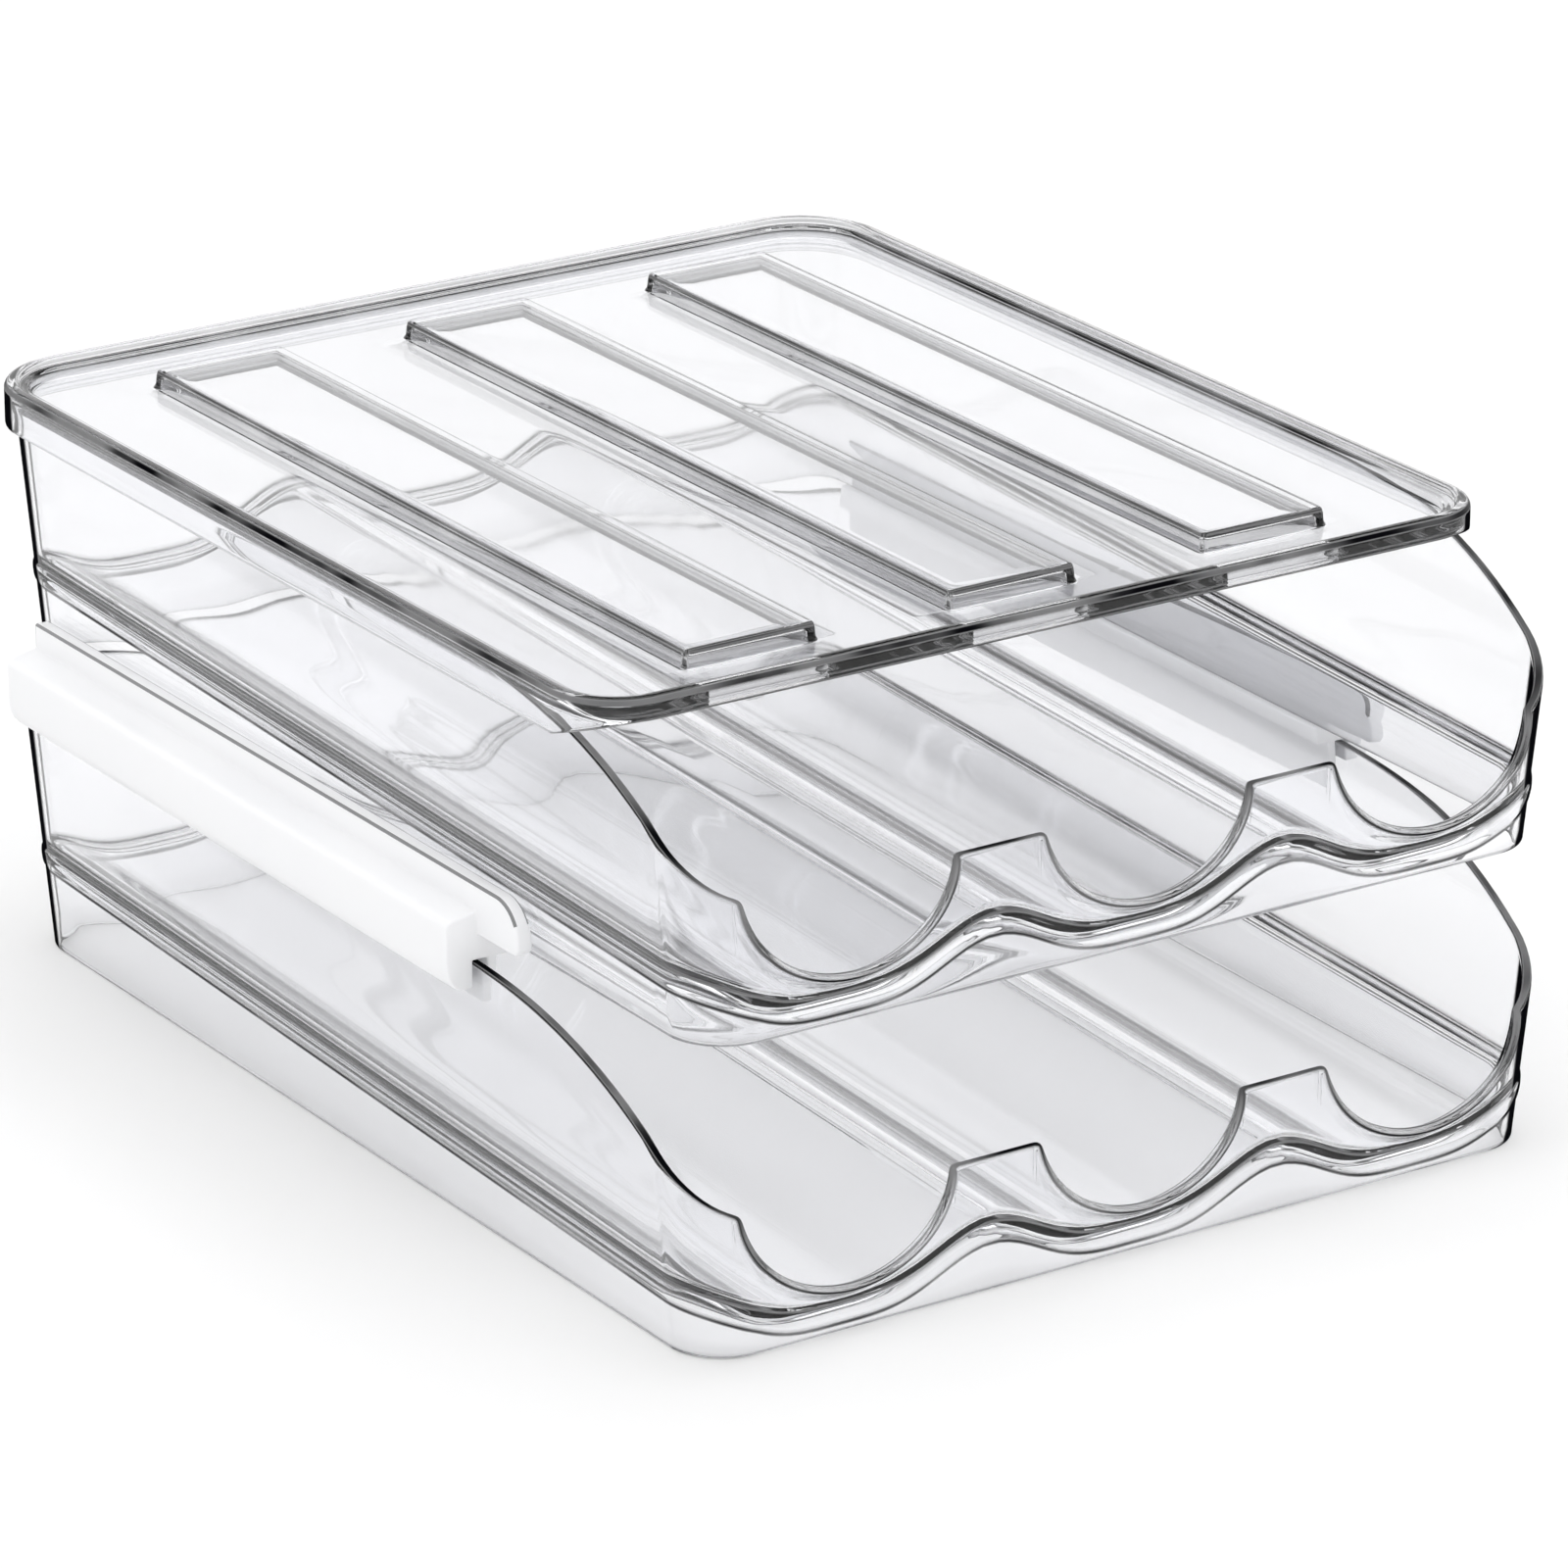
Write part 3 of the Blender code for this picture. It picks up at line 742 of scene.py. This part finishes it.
def clear_plastic():
    """Polished clear plastic: colourless in the sheet, with painted shade: dark lines along its
    edges and where it turns away.
    """
    material, nodes, links, shader = new_material("clear_polished_plastic")
    shader.inputs["IOR"].default_value = 1.49
    shader.inputs["Specular IOR Level"].default_value = 0.0

    # painted shade: the "edge" attribute carries dark lines along the polished edges, made patchy
    # by noise
    edge = nodes.new("ShaderNodeAttribute")
    edge.attribute_name = "edge"
    patchy_shade = add_range(nodes, links, add_noise(nodes, links, 38.0, 2.0), 0.8, 1.0, 0.35, 0.6)
    painted_edge_shade = nodes.new("ShaderNodeMath")
    painted_edge_shade.operation = 'MULTIPLY'
    links.new(edge.outputs["Fac"], painted_edge_shade.inputs[0])
    links.new(patchy_shade, painted_edge_shade.inputs[1])
    # painted shade: dark outlines where the surface turns away from the view, wider on upright
    # corners
    facing = nodes.new("ShaderNodeLayerWeight")
    facing.inputs["Blend"].default_value = 0.5
    turning = add_range(nodes, links, facing.outputs["Facing"], 0.0, 0.9, 0.74, 0.95)
    corner = nodes.new("ShaderNodeAttribute")
    corner.attribute_name = "corner"
    upright = nodes.new("ShaderNodeMath")
    upright.operation = 'MULTIPLY'
    links.new(corner.outputs["Fac"], upright.inputs[0])
    links.new(add_range(nodes, links, facing.outputs["Facing"], 0.0, 1.0, 0.56, 0.68),
              upright.inputs[1])
    darker = nodes.new("ShaderNodeMath")
    darker.operation = 'MAXIMUM'
    links.new(turning, darker.inputs[0])
    links.new(upright.outputs[0], darker.inputs[1])
    darkest = nodes.new("ShaderNodeMath")
    darkest.operation = 'MAXIMUM'
    links.new(painted_edge_shade.outputs[0], darkest.inputs[0])
    links.new(darker.outputs[0], darkest.inputs[1])
    # the painted shade also takes away transmission along the dark lines
    links.new(add_range(nodes, links, darkest.outputs[0], 1.0, 0.0, 0.45, 0.85),
              shader.inputs["Transmission Weight"])
    # painted shade: the colour goes near black along the dark lines
    tint = nodes.new("ShaderNodeMix")
    tint.data_type = 'RGBA'
    tint.inputs["A"].default_value = (0.965, 0.967, 0.980, 1.0)
    tint.inputs["B"].default_value = (0.003, 0.003, 0.004, 1.0)
    links.new(darkest.outputs[0], tint.inputs["Factor"])
    links.new(tint.outputs["Result"], shader.inputs["Base Color"])
    # painted shade: the reflection is dimmed along the dark lines as well
    reflection_shade = nodes.new("ShaderNodeMix")
    reflection_shade.data_type = 'RGBA'
    reflection_shade.inputs["A"].default_value = (1.0, 1.0, 1.0, 1.0)
    reflection_shade.inputs["B"].default_value = (0.06, 0.06, 0.06, 1.0)
    links.new(darkest.outputs[0], reflection_shade.inputs["Factor"])
    links.new(reflection_shade.outputs["Result"], shader.inputs["Specular Tint"])

    links.new(add_range(nodes, links, add_noise(nodes, links, 24.0, 3.0), 0.0, 0.035),
              shader.inputs["Roughness"])
    bump = nodes.new("ShaderNodeBump")
    bump.inputs["Strength"].default_value = 0.12
    bump.inputs["Distance"].default_value = 0.0002
    links.new(add_noise(nodes, links, 30.0, 1.0), bump.inputs["Height"])
    links.new(bump.outputs["Normal"], shader.inputs["Normal"])
    return material


def white_plastic(name, shade):
    """Glossy white moulded plastic with a faint grain and slight unevenness of gloss. The shade
    scales its colour; a low shade gives painted shade lines.
    """
    material, nodes, links, shader = new_material(name)
    shader.inputs["IOR"].default_value = 1.5
    shader.inputs["Coat Weight"].default_value = 0.12
    shader.inputs["Coat Roughness"].default_value = 0.20
    cloud = add_noise(nodes, links, 26.0, 3.0)
    tone = nodes.new("ShaderNodeMix")
    tone.data_type = 'RGBA'
    tone.inputs["A"].default_value = [0.92 * shade, 0.925 * shade, 0.945 * shade, 1.0]
    tone.inputs["B"].default_value = [0.95 * shade, 0.95 * shade, 0.955 * shade, 1.0]
    links.new(cloud, tone.inputs["Factor"])
    links.new(tone.outputs["Result"], shader.inputs["Base Color"])
    links.new(add_range(nodes, links, cloud, 0.30, 0.42), shader.inputs["Roughness"])
    bump = nodes.new("ShaderNodeBump")
    bump.inputs["Strength"].default_value = 0.10
    bump.inputs["Distance"].default_value = 0.0001
    links.new(add_noise(nodes, links, 1400.0, 2.0), bump.inputs["Height"])
    links.new(bump.outputs["Normal"], shader.inputs["Normal"])
    return material


# ---- assembly ----------------------------------------------------------------------------------
clear = clear_plastic()
white = white_plastic("white_moulded_plastic", 1.0)
# a dark grey copy of the white plastic: painted shade for the lines along the brackets' edges
painted_edge_grey = white_plastic("white_plastic_painted_edge_shade", 0.24)

pieces = [
    (make_bin("lower_bin_shell", 0.0), "lower_tray"),
    (make_bin("upper_bin_shell", TIER), "upper_tray"),
    (make_lid("lid_shell"), "lid"),
    (make_bracket("left_bracket_shell", -1), "left_bracket"),
    (make_bracket("right_bracket_shell", 1), "right_bracket"),
]
for piece, node in pieces:
    see_through = not piece.data.materials
    if see_through:
        piece.data.materials.append(clear)
    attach(piece, node)
    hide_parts(node)
    piece.visible_shadow = not see_through


# ---- stage, light and camera -------------------------------------------------------------------
FLOOR_HALF = 6.0               # metres
FLOOR_DROP = 0.0002            # keeps the floor clear of the tray's underside
SKY = ((0.0, 0.95), (0.46, 0.75), (0.54, 0.10),      # sine of the height, brightness
       (0.72, 0.10), (0.78, 1.6), (1.0, 1.6))
SKY_STRENGTH = 1.24
LENS = 191.04                  # millimetres, with a sensor 36 mm wide
CAMERA_PLACE = (-0.87877, -1.32652, 0.66921)
CAMERA_TURN = (68.892, -0.2, -33.612)                # degrees
BOUNCES = 24                   # enough for light to pass through both bins and the lid


def make_floor():
    bm = bmesh.new()
    for x, y in ((-1, -1), (1, -1), (1, 1), (-1, 1)):
        bm.verts.new((x * FLOOR_HALF, y * FLOOR_HALF, cad_box[0][2] - FLOOR_DROP))
    bm.faces.new(bm.verts[:])
    mesh = bpy.data.meshes.new("studio_floor")
    bm.to_mesh(mesh)
    bm.free()
    floor = add_object("studio_floor", mesh)
    material, _, _, shader = new_material("pale_floor")
    shader.inputs["Base Color"].default_value = (0.90, 0.90, 0.90, 1.0)
    shader.inputs["Roughness"].default_value = 0.9
    shader.inputs["Specular IOR Level"].default_value = 0.0
    mesh.materials.append(material)


def make_world():
    """A white studio: bright from the ground up to about 27 degrees, a dark ring above that,
    and a brighter ceiling."""
    world = bpy.data.worlds.new("studio")
    bpy.context.scene.world = world
    world.use_nodes = True
    nodes, links = world.node_tree.nodes, world.node_tree.links
    background = nodes["Background"]
    direction = nodes.new("ShaderNodeTexCoord")
    split = nodes.new("ShaderNodeSeparateXYZ")
    links.new(direction.outputs["Generated"], split.inputs["Vector"])
    ramp = nodes.new("ShaderNodeValToRGB")
    elements = ramp.color_ramp.elements
    while len(elements) < len(SKY):
        elements.new(0.5)
    for element, (position, value) in zip(elements, SKY):
        element.position = position
        element.color = (value, value, value, 1.0)
    links.new(split.outputs["Z"], ramp.inputs["Fac"])
    links.new(ramp.outputs["Color"], background.inputs["Color"])
    background.inputs["Strength"].default_value = SKY_STRENGTH


def make_camera():
    data = bpy.data.cameras.new("camera")
    data.sensor_width = 36.0
    data.lens = LENS
    data.clip_end = 50.0
    camera = bpy.data.objects.new("camera", data)
    camera.location = CAMERA_PLACE
    camera.rotation_euler = Euler([math.radians(angle) for angle in CAMERA_TURN])
    bpy.context.scene.collection.objects.link(camera)
    bpy.context.scene.camera = camera


make_floor()
make_world()
make_camera()
bpy.context.scene.view_settings.view_transform = 'Standard'
bpy.context.scene.cycles.max_bounces = BOUNCES
bpy.context.scene.cycles.transmission_bounces = BOUNCES
bpy.context.scene.cycles.glossy_bounces = 8

bpy.context.view_layer.update()
